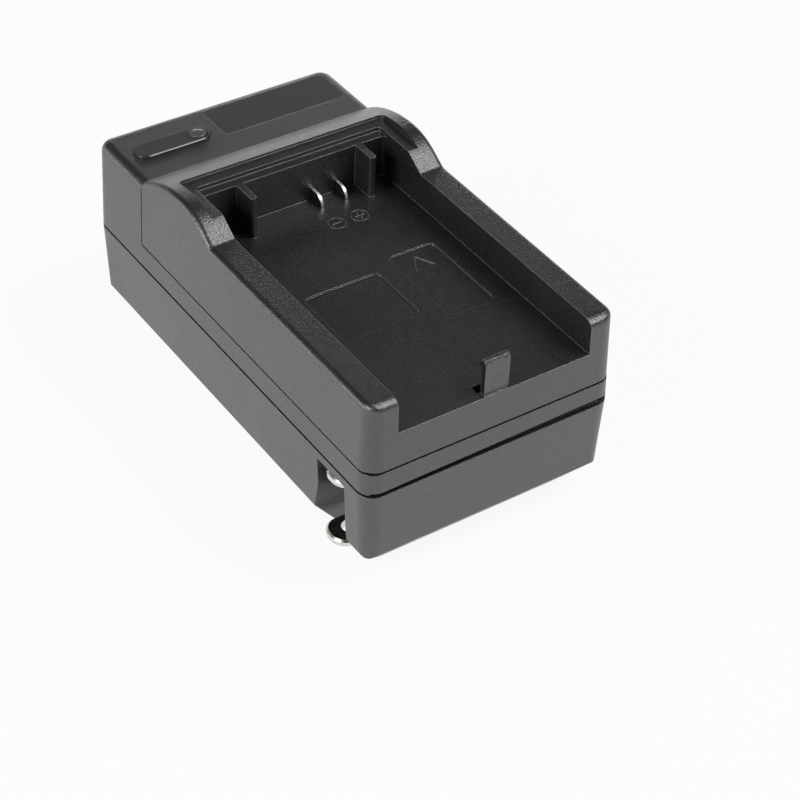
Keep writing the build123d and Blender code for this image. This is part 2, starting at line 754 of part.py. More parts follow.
def transformer_parts():
    """Core with two windows, its bobbin and the winding between the flanges."""
    x, y = transformer_place
    top = board_z
    bottom = top - core_height
    core_y = (y - core_depth / 2, y + core_depth / 2)
    frame = box((x - core_width / 2, x + core_width / 2), core_y, (bottom, top))
    window_width = (core_width - 3 * core_leg) / 2
    windows = []
    for side in (-1, 1):
        centre = x + side * (core_leg / 2 + window_width / 2)
        windows.append(box((centre - window_width / 2, centre + window_width / 2),
                           (y - core_depth, y + core_depth), (bottom + core_yoke, top - core_yoke)))
    core = frame - windows[0] - windows[1]
    window = (bottom + core_yoke, top - core_yoke)
    tube_x, tube_y = core_leg / 2, core_depth / 2
    bobbin = box((x - tube_x - bobbin_tube, x + tube_x + bobbin_tube),
                 (y - tube_y - bobbin_tube, y + tube_y + bobbin_tube), window)
    flange_x = tube_x + window_width
    for low in (window[0], window[1] - bobbin_flange):
        bobbin += box((x - flange_x, x + flange_x), (y - winding_depth / 2, y + winding_depth / 2),
                      (low, low + bobbin_flange))
    bobbin -= box((x - tube_x, x + tube_x), (y - tube_y, y + tube_y), (0, above_all))
    coil_z = (window[0] + bobbin_flange, window[1] - bobbin_flange)
    coil_y = (y - winding_depth / 2 + bobbin_flange, y + winding_depth / 2 - bobbin_flange)
    winding = box((x - flange_x, x + flange_x), coil_y, coil_z)
    winding -= box((x - tube_x - bobbin_tube, x + tube_x + bobbin_tube),
                   (y - tube_y - bobbin_tube, y + tube_y + bobbin_tube), coil_z)
    return core, bobbin, winding


def can(place, radius, height):
    """Round capacitor that hangs below the board, with a groove near its seal."""
    bottom = board_z - height
    body = post(place, radius, (bottom, board_z))
    body = chamfer(body.edges().filter_by(GeomType.CIRCLE).sort_by(Axis.Z)[0], radius / 8)
    groove = post(place, radius + 1, (board_z - 3, board_z - 2)) - post(place, radius - 0.4, (0, above_all))
    return body - groove


def fuse_part():
    """Fuse on two bent legs, below the board."""
    x, y = fuse_place
    z = board_z - fuse_drop - fuse_radius
    body = Pos(x, y, z) * Rot(90, 0, 0) * Cylinder(fuse_radius, fuse_length)
    for side in (-1, 1):
        leg_y = y + side * (fuse_length / 2 + 3 * lead_radius)
        body += post((x, leg_y), lead_radius, (z, board_z))
        wire = Rot(90, 0, 0) * Cylinder(lead_radius, fuse_length + 6 * lead_radius)
        body += Pos(x, y, z) * wire
    return body


def chip(place, size, leg_reach, legs):
    """Surface-mounted chip with legs on both sides, on top of the board."""
    x, y = place
    width, length, height = size
    body = box((x - width / 2, x + width / 2), (y - length / 2, y + length / 2),
               (board_top + 0.15, board_top + height))
    pitch = width / legs
    for side in (-1, 1):
        for number in range(legs):
            leg_x = x - width / 2 + pitch * (number + 0.5)
            leg_y = sorted((y + side * length / 2, y + side * (length / 2 + leg_reach)))
            body += box((leg_x - 0.2, leg_x + 0.2), leg_y, (board_top, board_top + 0.35))
    return body


def transistor_part():
    """Switching transistor that hangs on three legs."""
    x, y = transistor_place
    top = board_z - 2.0
    body = post((x, y), transistor_radius, (top - transistor_height, top))
    body -= box((x - 5, x + 5), (y + transistor_radius * 0.6, y + 5), (0, above_all))
    for number in (-1, 0, 1):
        body += post((x + number * lead_pitch / 2, y), lead_radius, (top - 0.5, board_z))
    return body


def lamp_part():
    """Indicator lamp on two legs, just below the lens."""
    top = block_z - wall - 2 * lens_flange_height - lamp_gap
    base = top - lamp_body - lamp_radius
    body = post(lens_place, lamp_radius, (base, top))
    body = chamfer(body.edges().filter_by(GeomType.CIRCLE).sort_by(Axis.Z)[-1], lamp_radius / 2)
    body += post(lens_place, lamp_radius + lamp_flange, (base, base + lamp_flange))
    for side in (-1, 1):
        leg = (lens_place[0] + side * lead_pitch / 2 * 0.8, lens_place[1])
        body += post(leg, lead_radius, (board_top, base + lamp_flange))
    return body


# Screws

def screw(place, radius, head_radius, head_height, seat_z, end_z):
    """A pan-head screw whose head rests against a seat; it may point up or down."""
    direction = 1 if end_z > seat_z else -1
    head_z = sorted((seat_z - direction * head_height, seat_z))
    body = post(place, head_radius, head_z) + post(place, radius, sorted((seat_z, end_z)))
    slot_half = head_radius * 0.6
    outer = seat_z - direction * head_height
    slot_z = sorted((outer, outer + direction * head_height * 0.45))
    slot_y = (place[1] - 0.25, place[1] + 0.25)
    return body - box((place[0] - slot_half, place[0] + slot_half), slot_y, slot_z)


def housing_screws_part():
    """Four long screws that clamp the lower shell, upper shell and plate."""
    shank = screw_radius - thread_gap
    return Compound([screw(spot, shank, screw_head_radius, screw_head_height, boss_floor_height,
                           plate_z + screw_bite) for spot in screw_spots])


def short_screws(spots, seat_z):
    """Short screws that point down from a seat."""
    shank = small_screw_radius - thread_gap
    return Compound([screw(spot, shank, small_head_radius, small_head_height, seat_z,
                           seat_z - small_screw_length) for spot in spots])


black = (0.08, 0.08, 0.09)
dark = (0.16, 0.16, 0.18)
metal = (0.78, 0.76, 0.7)
green = (0.1, 0.35, 0.2)

transformer_core, transformer_bobbin, transformer_winding = transformer_parts()
pieces = {
    "lower_shell": (lower_shell_part(), (0.3, 0.3, 0.33)),
    "upper_shell": (upper_shell_part(), (0.38, 0.38, 0.42)),
    "battery_plate": (battery_plate_part(), (0.46, 0.46, 0.5)),
    "charge_window": (charge_window_part(), (0.3, 0.5, 0.6)),
    "charge_lens": (charge_lens_part(), (0.9, 0.5, 0.4)),
    "top_label": (Pos(0, 0, block_z - top_label_thickness) * extrude(
        top_label_outline(fit_gap), top_label_thickness), black),
    "bottom_label": (Pos(0, 0, label_recess - label_thickness) * extrude(
        label_outline(fit_gap), label_thickness), black),
    "contact_negative": (contact_part(contact_minus_x), metal),
    "contact_positive": (contact_part(contact_plus_x), metal),
    "plug_carrier": (carrier, dark),
    "plug_blade_upper": (blade_upper, metal),
    "plug_blade_lower": (blade_lower, metal),
    "plug_cover": (plug_cover_part(), (0.5, 0.5, 0.3)),
    "plug_spring_front": (plug_spring_part(-1), metal),
    "plug_spring_rear": (plug_spring_part(1), metal),
    "detent_spring": (detent_spring_part(), metal),
    "circuit_board": (circuit_board_part(), green),
    "board_screws": (short_screws(standoff_spots, board_top), metal),
    "plug_cover_screws": (short_screws(ear_spots, well_top + cover_thickness), metal),
    "housing_screws": (housing_screws_part(), metal),
    "transformer_core": (transformer_core, dark),
    "transformer_bobbin": (transformer_bobbin, (0.7, 0.7, 0.7)),
    "transformer_winding": (transformer_winding, (0.85, 0.7, 0.1)),
    "input_capacitor": (
        can(input_capacitor_place, input_capacitor_radius, input_capacitor_height), black),
    "output_capacitor": (
        can(output_capacitor_place, output_capacitor_radius, output_capacitor_height), black),
    "fuse": (fuse_part(), (0.7, 0.6, 0.4)),
    "bridge_rectifier": (chip(bridge_place, bridge_size, chip_leg_reach, 2), black),
    "controller_chip": (chip(chip_place, chip_size, chip_leg_reach, 4), black),
    "switching_transistor": (transistor_part(), black),
    "charge_lamp": (lamp_part(), (0.9, 0.2, 0.2)),
}
for name, (shape, tint) in pieces.items():
    save(shape, name, tint)
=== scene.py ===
# %% [markdown]
# # A plug-in battery charger in Blender
# The charger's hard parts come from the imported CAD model, already at their right size and place, in
# metres. This lesson gives them their finishes, adds the small raised marks that a mould leaves in the
# plastic, and lights the whole for a studio picture.

# %% Load the frame
import json
import math

import bpy
from mathutils import Matrix, Vector


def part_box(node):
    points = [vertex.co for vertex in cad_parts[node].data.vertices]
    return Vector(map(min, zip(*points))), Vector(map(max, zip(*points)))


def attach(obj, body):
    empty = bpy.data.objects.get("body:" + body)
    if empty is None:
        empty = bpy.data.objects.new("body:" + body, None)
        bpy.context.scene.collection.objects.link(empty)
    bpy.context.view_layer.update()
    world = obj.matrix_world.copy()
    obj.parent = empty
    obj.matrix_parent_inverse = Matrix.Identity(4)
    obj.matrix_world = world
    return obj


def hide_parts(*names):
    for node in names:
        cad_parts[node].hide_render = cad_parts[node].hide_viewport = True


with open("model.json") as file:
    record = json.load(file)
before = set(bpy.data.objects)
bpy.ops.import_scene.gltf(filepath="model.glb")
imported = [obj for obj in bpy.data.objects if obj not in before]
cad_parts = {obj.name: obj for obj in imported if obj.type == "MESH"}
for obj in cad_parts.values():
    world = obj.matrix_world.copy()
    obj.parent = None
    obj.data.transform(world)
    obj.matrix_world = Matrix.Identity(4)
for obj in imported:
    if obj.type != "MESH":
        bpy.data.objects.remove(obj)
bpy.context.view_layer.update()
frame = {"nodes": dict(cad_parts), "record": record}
MM = 0.001

# %% [markdown]
# ## The camera
# The picture was taken from the front left, from rather high up, with a long lens that was turned a
# little. The camera's three axes are worked out from its heading, its height angle and its roll, and
# become the columns of its matrix. That is more exact than aiming it by hand, because each angle can be
# set alone. The lengths and angles were found by fitting the model's edges to the picture.

# %% Camera
heading, rise, roll = math.radians(-35.271), math.radians(39.819), math.radians(2.408)
aim = Vector((4.623, -11.364, 4.064)) * MM
distance = 390.5 * MM

back = Vector((math.sin(heading) * math.cos(rise), -math.cos(heading) * math.cos(rise), math.sin(rise)))
level_right = Vector((math.cos(heading), math.sin(heading), 0))
level_up = back.cross(level_right)
right = level_right * math.cos(roll) + level_up * math.sin(roll)
up = level_up * math.cos(roll) - level_right * math.sin(roll)

bpy.ops.object.select_all(action="DESELECT")
bpy.ops.object.camera_add()
camera = bpy.context.object
turned = Matrix((right, up, back)).transposed().to_4x4()
camera.matrix_world = Matrix.Translation(aim + back * distance) @ turned
camera.data.sensor_width = 36.0
camera.data.lens = 101.37
camera.data.clip_start = 0.01
bpy.context.scene.camera = camera
bpy.context.scene.view_settings.view_transform = "Standard"
print("camera stands at", [round(v / MM, 1) for v in camera.location])

# %% [markdown]
# ## Helpers for modelling
# Operators act on all that is selected, so each piece starts from an empty selection. Parts of a mesh are
# then picked in code by their place, which is what a click in the viewport would do.

# %% Selection and edit mode helpers
def start_fresh():
    """Leave edit mode and select nothing."""
    if bpy.context.object and bpy.context.object.mode != "OBJECT":
        bpy.ops.object.mode_set(mode="OBJECT")
    bpy.ops.object.select_all(action="DESELECT")


def work_on(piece):
    """Make one piece the only selected and the active one."""
    start_fresh()
    piece.select_set(True)
    bpy.context.view_layer.objects.active = piece


def pick_edges(piece, test):
    """In edit mode, select the edges whose middle passes a test."""
    bpy.ops.mesh.select_mode(type="EDGE")
    bpy.ops.mesh.select_all(action="DESELECT")
    bpy.ops.object.mode_set(mode="OBJECT")
    points = [vertex.co for vertex in piece.data.vertices]
    for edge in piece.data.edges:
        edge.select = test((points[edge.vertices[0]] + points[edge.vertices[1]]) / 2)
    bpy.ops.object.mode_set(mode="EDIT")


def settle(piece, name):
    """Put the piece's place into its mesh, so that its object sits at the origin, and name it."""
    work_on(piece)
    bpy.ops.object.transform_apply(location=True, rotation=True, scale=True)
    piece.name = name
    piece.data.name = name
    return piece


# %% [markdown]
# ## The floor
# The picture stands on white. The floor is one round sheet whose rim curves up like a shallow dish, so
# that views from the side end in white as well. It starts as a flat disc, and its rim is extruded and
# widened ring by ring.

# %% Floor
flat_radius = 0.8
curl_radius = 0.5
curl_steps = 8
curl_angle = math.radians(8)
floor_drop = 0.05 * MM

start_fresh()
bpy.ops.mesh.primitive_circle_add(vertices=96, radius=flat_radius, fill_type="NGON",
                                  location=(0, 0, -floor_drop))
floor = bpy.context.object
bpy.ops.object.mode_set(mode="EDIT")
pick_edges(floor, lambda point: True)
rim_radius = flat_radius
for step in range(1, curl_steps + 1):
    angle = step * curl_angle
    climb = curl_radius * (math.cos(angle - curl_angle) - math.cos(angle))
    wider = flat_radius + curl_radius * math.sin(angle)
    bpy.ops.mesh.extrude_edges_move(TRANSFORM_OT_translate={"value": (0, 0, climb)})
    bpy.ops.transform.resize(value=(wider / rim_radius, wider / rim_radius, 1), center_override=(0, 0, 0))
    rim_radius = wider
bpy.ops.object.mode_set(mode="OBJECT")
bpy.ops.object.shade_smooth()
settle(floor, "studio_floor")
print("floor: rim radius", round(rim_radius, 2), "m, height", round(floor.dimensions.z, 2), "m")

# %% [markdown]
# ## Helpers for node trees
# A material is a small graph. A few helpers keep the cells short: they add a node and fill in its
# settings, make a group with named sockets, place it in a material, and do sums, blends and ranges.

# %% Node helpers
def add_node(tree, kind, values=None, **settings):
    """Add a node, set its properties, and set the default values of named inputs."""
    made = tree.nodes.new(kind)
    for name, value in settings.items():
        setattr(made, name, value)
    for name, value in (values or {}).items():
        made.inputs[name].default_value = value
    return made


def new_group(name, inputs, outputs):
    """A shader node group with named inputs (name, kind, value) and outputs (name, kind)."""
    tree = bpy.data.node_groups.new(name, "ShaderNodeTree")
    for socket, kind, value in inputs:
        tree.interface.new_socket(socket, in_out="INPUT", socket_type=kind).default_value = value
    for socket, kind in outputs:
        tree.interface.new_socket(socket, in_out="OUTPUT", socket_type=kind)
    return tree, tree.nodes.new("NodeGroupInput").outputs, tree.nodes.new("NodeGroupOutput").inputs


def place_group(tree, group, **values):
    """Put a group into a material, with its own values; an underscore stands for a space."""
    made = tree.nodes.new("ShaderNodeGroup")
    made.node_tree = group
    for name, value in values.items():
        made.inputs[name.replace("_", " ").capitalize()].default_value = value
    return made


def math_node(tree, operation, first, second=None, clamp=False):
    """A Math node; each operand is a number or a socket."""
    made = add_node(tree, "ShaderNodeMath", operation=operation, use_clamp=clamp)
    for slot, operand in enumerate((first, second)):
        if operand is None:
            continue
        if isinstance(operand, (int, float)):
            made.inputs[slot].default_value = operand
        else:
            tree.links.new(operand, made.inputs[slot])
    return made.outputs[0]


def colour_mix(tree, factor, low, high):
    """Blend two colours by a factor; each colour is a tuple or a socket."""
    made = add_node(tree, "ShaderNodeMix", data_type="RGBA")
    tree.links.new(factor, made.inputs[0])
    for slot, colour in ((6, low), (7, high)):
        if isinstance(colour, tuple):
            made.inputs[slot].default_value = (*colour, 1)
        else:
            tree.links.new(colour, made.inputs[slot])
    return made.outputs[2]


def ranged(tree, value, low, high, to_low=0.0, to_high=1.0):
    """Map a range of values to another one, and keep it inside."""
    made = add_node(tree, "ShaderNodeMapRange", {"From Min": low, "From Max": high,
                                                 "To Min": to_low, "To Max": to_high})
    tree.links.new(value, made.inputs["Value"])
    return made.outputs["Result"]


# %% [markdown]
# ## White floor with the object's own shadow
# The floor has two shaders. For the camera, and for rays that bounce off metal or go through glass, part
# of it glows at strength 1, which is white. The rest is a plain diffuse white that the lamps light, so
# the charger's soft shadow stays. Seen from below the sheet is clear, so that the underside can be looked
# at.

# %% Floor material
floor_white = (0.88, 0.88, 0.88, 1)
glow_white = (1, 1, 1, 1)
glow_share = 0.92

floor_paint = bpy.data.materials.new("studio_white")
floor_paint.use_nodes = True
tree = floor_paint.node_tree
tree.nodes.clear()
result = add_node(tree, "ShaderNodeOutputMaterial")
matt = add_node(tree, "ShaderNodeBsdfDiffuse", {"Color": floor_white})
glow = add_node(tree, "ShaderNodeEmission", {"Color": glow_white, "Strength": 1.0})
clear = add_node(tree, "ShaderNodeBsdfTransparent")
ray = add_node(tree, "ShaderNodeLightPath")
side = add_node(tree, "ShaderNodeNewGeometry")
direct = math_node(tree, "MAXIMUM", ray.outputs["Is Camera Ray"], ray.outputs["Is Glossy Ray"])
direct = math_node(tree, "MAXIMUM", direct, ray.outputs["Is Transmission Ray"])
glowing = math_node(tree, "MULTIPLY", direct, glow_share)
white = add_node(tree, "ShaderNodeMixShader")
tree.links.new(glowing, white.inputs[0])
tree.links.new(matt.outputs[0], white.inputs[1])
tree.links.new(glow.outputs[0], white.inputs[2])
one_sided = add_node(tree, "ShaderNodeMixShader")
tree.links.new(side.outputs["Backfacing"], one_sided.inputs[0])
tree.links.new(white.outputs[0], one_sided.inputs[1])
tree.links.new(clear.outputs[0], one_sided.inputs[2])
tree.links.new(one_sided.outputs[0], result.inputs["Surface"])
floor.data.materials.append(floor_paint)
print("floor material:", len(tree.nodes), "nodes")

# %% [markdown]
# ## The lamps
# Black plastic shows its shape through what it mirrors, and its upright sides mirror the white floor.
# Five soft boxes do the rest. The one over the front right gives the plain level and the light on the
# sloping shoulders. A weak one far behind lies where the flat tops mirror it, so it has most say in how
# dark they look. One on the left reaches over the near wall into the bay. A low one on the left and a low
# one behind lift the rounded rear edges. Their powers are small because the object is small and they
# stand close.

# %% Lamps and world
def soft_box(name, place, aim_at, width, height, power):
    """A rectangular area lamp that looks at a point."""
    start_fresh()
    bpy.ops.object.light_add(type="AREA", location=place)
    lamp = bpy.context.object
    lamp.name = name
    lamp.data.shape = "RECTANGLE"
    lamp.data.size = width
    lamp.data.size_y = height
    lamp.data.energy = power
    lamp.rotation_mode = "QUATERNION"
    lamp.rotation_quaternion = (Vector(aim_at) - Vector(place)).to_track_quat("-Z", "Y")
    print(name, "at", place, "with", power, "W")


soft_box("box_over", (0.38, -0.30, 0.75), (0, 0, 0), 0.45, 0.45, 4.5)
soft_box("box_far", (0.46, 0.76, 0.52), (0, 0, 0.02), 0.5, 0.3, 0.16)
soft_box("box_left", (-0.75, -0.12, 0.42), (0, 0, 0.02), 0.45, 0.35, 4.2)
soft_box("box_low_left", (-0.70, 0.38, 0.07), (0, 0, 0.02), 0.6, 0.22, 1.2)
soft_box("box_behind", (0.38, 0.72, 0.16), (0, 0, 0.03), 0.5, 0.10, 0.6)

air_strength = 0.04

world = bpy.context.scene.world or bpy.data.worlds.new("studio_air")
bpy.context.scene.world = world
world.use_nodes = True
tree = world.node_tree
tree.nodes.clear()
sky_out = add_node(tree, "ShaderNodeOutputWorld")
air = add_node(tree, "ShaderNodeBackground", {"Color": glow_white, "Strength": air_strength})
paper = add_node(tree, "ShaderNodeBackground", {"Color": glow_white, "Strength": 1.0})
ray = add_node(tree, "ShaderNodeLightPath")
both = add_node(tree, "ShaderNodeMixShader")
tree.links.new(ray.outputs["Is Camera Ray"], both.inputs[0])
tree.links.new(air.outputs[0], both.inputs[1])
tree.links.new(paper.outputs[0], both.inputs[2])
tree.links.new(both.outputs[0], sky_out.inputs["Surface"])
print("air at strength", air_strength)

# %% [markdown]
# ## Effects that several finishes share
# The mould of such a case is spark-eroded, which leaves a fine pebbled grain of about a quarter of a
# millimetre. The grain is a height made from two noises and cell pits, and drives a Bump node in each
# material. A third, finer noise picks single grains whose colour is made lighter, a painted glint.

# %% Group: grain of a spark-eroded mould, with painted glints
grain_group, given, out = new_group(
    "mould_grain",
    [("Scale", "NodeSocketFloat", 3200.0), ("Pitting", "NodeSocketFloat", 0.5)],
    [("Height", "NodeSocketFloat"), ("Painted glint", "NodeSocketFloat")],
)
place = add_node(grain_group, "ShaderNodeTexCoord").outputs["Object"]
pebbles = add_node(grain_group, "ShaderNodeTexNoise", {"Detail": 2.5, "Roughness": 0.6})
coarse = add_node(grain_group, "ShaderNodeTexNoise", {"Detail": 1.0})
pits = add_node(grain_group, "ShaderNodeTexVoronoi", {"Smoothness": 0.6}, feature="SMOOTH_F1")
glint_noise = add_node(grain_group, "ShaderNodeTexNoise", {"Detail": 1.0})
for texture, share in ((pebbles, 1.0), (coarse, 0.35), (pits, 0.8), (glint_noise, 1.5)):
    grain_group.links.new(place, texture.inputs["Vector"])
    grain_group.links.new(math_node(grain_group, "MULTIPLY", given["Scale"], share), texture.inputs["Scale"])
bumps = math_node(grain_group, "ADD", math_node(grain_group, "MULTIPLY", pebbles.outputs[0], 0.7),
                  math_node(grain_group, "MULTIPLY", coarse.outputs[0], 0.15))
pitted = math_node(grain_group, "MULTIPLY", pits.outputs["Distance"], given["Pitting"])
grain_group.links.new(math_node(grain_group, "ADD", bumps, pitted), out["Height"])
# This output lightens the colour of single grains: painted glints, not pigment flecks.
grain_group.links.new(ranged(grain_group, glint_noise.outputs[0], 0.52, 0.70), out["Painted glint"])
print(grain_group.name, "has", len(grain_group.nodes), "nodes")

# %% [markdown]
# No moulded or stamped edge is a knife edge. A Bevel node bends the normal close to each edge, so edges
# catch a thin line of light without one more polygon. Where the bent and the true normal differ there is
# an edge, and that difference is the mask for handling wear and for a painted edge highlight.

# %% Group: rounded edges, rubbed and with a painted highlight
edge_group, given, out = new_group(
    "rounded_edges_rub_and_highlight",
    [("Radius", "NodeSocketFloat", 0.2 * MM), ("Patch scale", "NodeSocketFloat", 260.0)],
    [("Normal", "NodeSocketVector"), ("Edge", "NodeSocketFloat"), ("Rub and highlight", "NodeSocketFloat")],
)
rounding = add_node(edge_group, "ShaderNodeBevel", samples=6)
edge_group.links.new(given["Radius"], rounding.inputs["Radius"])
surface = add_node(edge_group, "ShaderNodeNewGeometry")
agree = add_node(edge_group, "ShaderNodeVectorMath", operation="DOT_PRODUCT")
edge_group.links.new(rounding.outputs[0], agree.inputs[0])
edge_group.links.new(surface.outputs["Normal"], agree.inputs[1])
edge = ranged(edge_group, agree.outputs["Value"], 0.97, 0.80)
patches = add_node(edge_group, "ShaderNodeTexNoise", {"Detail": 3.0})
edge_group.links.new(add_node(edge_group, "ShaderNodeTexCoord").outputs["Object"], patches.inputs["Vector"])
edge_group.links.new(given["Patch scale"], patches.inputs["Scale"])
edge_group.links.new(rounding.outputs[0], out["Normal"])
edge_group.links.new(edge, out["Edge"])
patchy = ranged(edge_group, patches.outputs[0], 0.25, 0.55, 0.5, 1.0)
# This mask marks edges to be coloured lighter: partly handling wear, partly a painted edge highlight.
edge_group.links.new(math_node(edge_group, "MULTIPLY", edge, patchy), out["Rub and highlight"])
print(edge_group.name, "has", len(edge_group.nodes), "nodes")

# %% [markdown]
# Edges are made light where a battery slides past them, which is between the side walls and from just
# below the bay's floor upwards; that light grey is partly rub wear and partly a painted edge highlight.
# Painting such a mask by hand would take longer, and two coordinates of the piece give that zone just as
# well.

# %% Group: zone where edges are rubbed and get a painted highlight
reach_group, given, out = new_group("battery_reach", [], [("Reach", "NodeSocketFloat")])
# Within this zone, edges get the full light grey: partly wear, partly painted highlight.
rub_and_highlight_half_width = 18.9 * MM
rub_and_highlight_from_height = 27.0 * MM
place = add_node(reach_group, "ShaderNodeSeparateXYZ")
reach_group.links.new(add_node(reach_group, "ShaderNodeTexCoord").outputs["Object"], place.inputs[0])
sideways = math_node(reach_group, "ABSOLUTE", place.outputs["X"])
across = ranged(reach_group, sideways, rub_and_highlight_half_width + 0.5 * MM, rub_and_highlight_half_width)
above = ranged(reach_group, place.outputs["Z"], rub_and_highlight_from_height, rub_and_highlight_from_height + 2.0 * MM)
reach_group.links.new(math_node(reach_group, "MULTIPLY", across, above), out["Reach"])
print(reach_group.name, "has", len(reach_group.nodes), "nodes")

# %% [markdown]
# Hands leave a faint unevenness of the gloss, about a centimetre wide, and air leaves single specks of
# dust. A slow noise gives the one, and the few luckiest cells of a Voronoi pattern give the other.

# %% Group: smudges and dust
touch_group, given, out = new_group(
    "touch_and_dust",
    [("Smudge scale", "NodeSocketFloat", 70.0), ("Dust scale", "NodeSocketFloat", 900.0)],
    [("Smudge", "NodeSocketFloat"), ("Dust", "NodeSocketFloat")],
)
place = add_node(touch_group, "ShaderNodeTexCoord").outputs["Object"]
smudge = add_node(touch_group, "ShaderNodeTexNoise", {"Detail": 4.0, "Roughness": 0.55, "Distortion": 0.6})
specks = add_node(touch_group, "ShaderNodeTexVoronoi")
for texture, source in ((smudge, "Smudge scale"), (specks, "Dust scale")):
    touch_group.links.new(place, texture.inputs["Vector"])
    touch_group.links.new(given[source], texture.inputs["Scale"])
lucky = add_node(touch_group, "ShaderNodeSeparateColor")
touch_group.links.new(specks.outputs["Color"], lucky.inputs[0])
small = ranged(touch_group, specks.outputs["Distance"], 0.16, 0.08)
rare = ranged(touch_group, lucky.outputs[0], 0.965, 0.985)
touch_group.links.new(ranged(touch_group, smudge.outputs[0], 0.35, 0.65), out["Smudge"])
touch_group.links.new(math_node(touch_group, "MULTIPLY", small, rare), out["Dust"])
print(touch_group.name, "has", len(touch_group.nodes), "nodes")

# %% [markdown]
# ## Moulded plastic
# One recipe serves all moulded pieces: near-black pigment, a broad gloss, grain from the mould, edges
# that are smoother and, where the battery rubs them, much lighter, which is partly wear and partly a painted
# highlight, single grains painted lighter as glints, and a breath of dust. Each piece gets its own values,
# because a window insert is polished where the case is matt. The index of refraction of the outer pieces is
# set high, because their side walls are seen by what they mirror and not by their own colour.

# %% Moulded plastic recipe
dust_colour = (0.35, 0.34, 0.32)


def new_finish(name):
    """A material with only an output and a Principled BSDF."""
    made = bpy.data.materials.new(name)
    made.use_nodes = True
    made.node_tree.nodes.clear()
    shader = add_node(made.node_tree, "ShaderNodeBsdfPrincipled")
    result = add_node(made.node_tree, "ShaderNodeOutputMaterial")
    made.node_tree.links.new(shader.outputs[0], result.inputs[0])
    return made, made.node_tree, shader


def moulded(name, pigment, rub_and_highlight_colour, roughness, grain_scale=3200.0, grain_depth=0.02 * MM, edge_radius=0.2 * MM,
            ior=1.5, dust=0.5):
    """A moulded plastic with its own pigment, gloss and grain, and a lighter colour on edges and single
    grains that is partly wear and partly painted highlight.
    """
    made, tree, shader = new_finish(name)
    shader.inputs["IOR"].default_value = ior
    grain = place_group(tree, grain_group, scale=grain_scale)
    edges = place_group(tree, edge_group, radius=edge_radius)
    touch = place_group(tree, touch_group)
    reach = place_group(tree, reach_group)
    painted_glint = math_node(tree, "MULTIPLY", grain.outputs["Painted glint"], 0.11)
    # The base colour turns light grey on edges and glinting grains: partly wear, partly painted highlight.
    rub_and_highlight_share = ranged(tree, reach.outputs["Reach"], 0, 1, 0.08, 1.0)
    rub_and_highlight = math_node(tree, "MULTIPLY", edges.outputs["Rub and highlight"], rub_and_highlight_share)
    base = colour_mix(tree, math_node(tree, "MAXIMUM", rub_and_highlight, painted_glint), pigment, rub_and_highlight_colour)
    dusty = math_node(tree, "MULTIPLY", touch.outputs["Dust"], dust)
    tree.links.new(colour_mix(tree, dusty, base, dust_colour), shader.inputs["Base Color"])
    gloss = ranged(tree, touch.outputs["Smudge"], 0, 1, roughness * 0.92, roughness * 1.08)
    polished = math_node(tree, "ADD", math_node(tree, "MULTIPLY", edges.outputs["Edge"], -0.12),
                         math_node(tree, "MULTIPLY", grain.outputs["Painted glint"], -0.12))
    tree.links.new(math_node(tree, "ADD", gloss, polished, clamp=True), shader.inputs["Roughness"])
    bump = add_node(tree, "ShaderNodeBump", {"Strength": 1.0, "Distance": grain_depth})
    tree.links.new(grain.outputs["Height"], bump.inputs["Height"])
    tree.links.new(edges.outputs["Normal"], bump.inputs["Normal"])
    tree.links.new(bump.outputs[0], shader.inputs["Normal"])
    return made


# Light grey for edges and grains: partly rub wear, partly a painted highlight.
rub_and_highlight_grey = (0.36, 0.36, 0.36)
outer_grain = {"grain_scale": 4200, "grain_depth": 0.07 * MM, "edge_radius": 0.16 * MM,
               "ior": 1.93, "dust": 0.1}
finishes = {
    "case_plastic": moulded("black_case", (0.010, 0.010, 0.0103), rub_and_highlight_grey, 0.37, **outer_grain),
    "plate_plastic": moulded("black_plate", (0.009, 0.009, 0.0093), rub_and_highlight_grey, 0.37, **outer_grain),
    "window_plastic": moulded("black_window", (0.014, 0.014, 0.0145), (0.06, 0.06, 0.06), 0.32,
                              grain_scale=5200, grain_depth=0.01 * MM, edge_radius=0.15 * MM, ior=1.9,
                              dust=0.1),
    "bobbin_plastic": moulded("bobbin_nylon", (0.05, 0.05, 0.05), (0.1, 0.1, 0.1), 0.55, grain_scale=2600),
    "chip_plastic": moulded("chip_epoxy", (0.018, 0.018, 0.02), (0.05, 0.05, 0.05), 0.42, grain_scale=6000,
                            grain_depth=0.01 * MM),
    "ferrite": moulded("ferrite_sinter", (0.035, 0.034, 0.036), (0.09, 0.09, 0.1), 0.38, grain_scale=4200,
                       grain_depth=0.03 * MM, ior=1.9),
}
# The signs' light edge colour is a painted edge highlight, partly wear too.
relief_wear_and_highlight = moulded("relief_wear_and_highlight", (0.05, 0.05, 0.05), (0.42, 0.42, 0.41), 0.34, grain_scale=6000,
                      edge_radius=0.1 * MM, ior=1.9, dust=0.0)
print("moulded finishes:", sorted(finishes))

# %% [markdown]
# ## Label film
# The two labels are thin satin films. Film has almost no grain but lies in shallow waves, the orange peel
# that adhesive leaves below it, and its cut edge gets a thin pale line, a painted highlight. The waves are
# one slow noise in a Bump node, and the painted highlight comes from the same edge group as on the plastic.

# %% Label film
made, tree, shader = new_finish("satin_film")
shader.inputs["IOR"].default_value = 1.85
edges = place_group(tree, edge_group, radius=0.1 * MM)
touch = place_group(tree, touch_group, smudge_scale=55.0)
waves = add_node(tree, "ShaderNodeTexNoise", {"Scale": 420.0, "Detail": 1.5})
tree.links.new(add_node(tree, "ShaderNodeTexCoord").outputs["Object"], waves.inputs["Vector"])
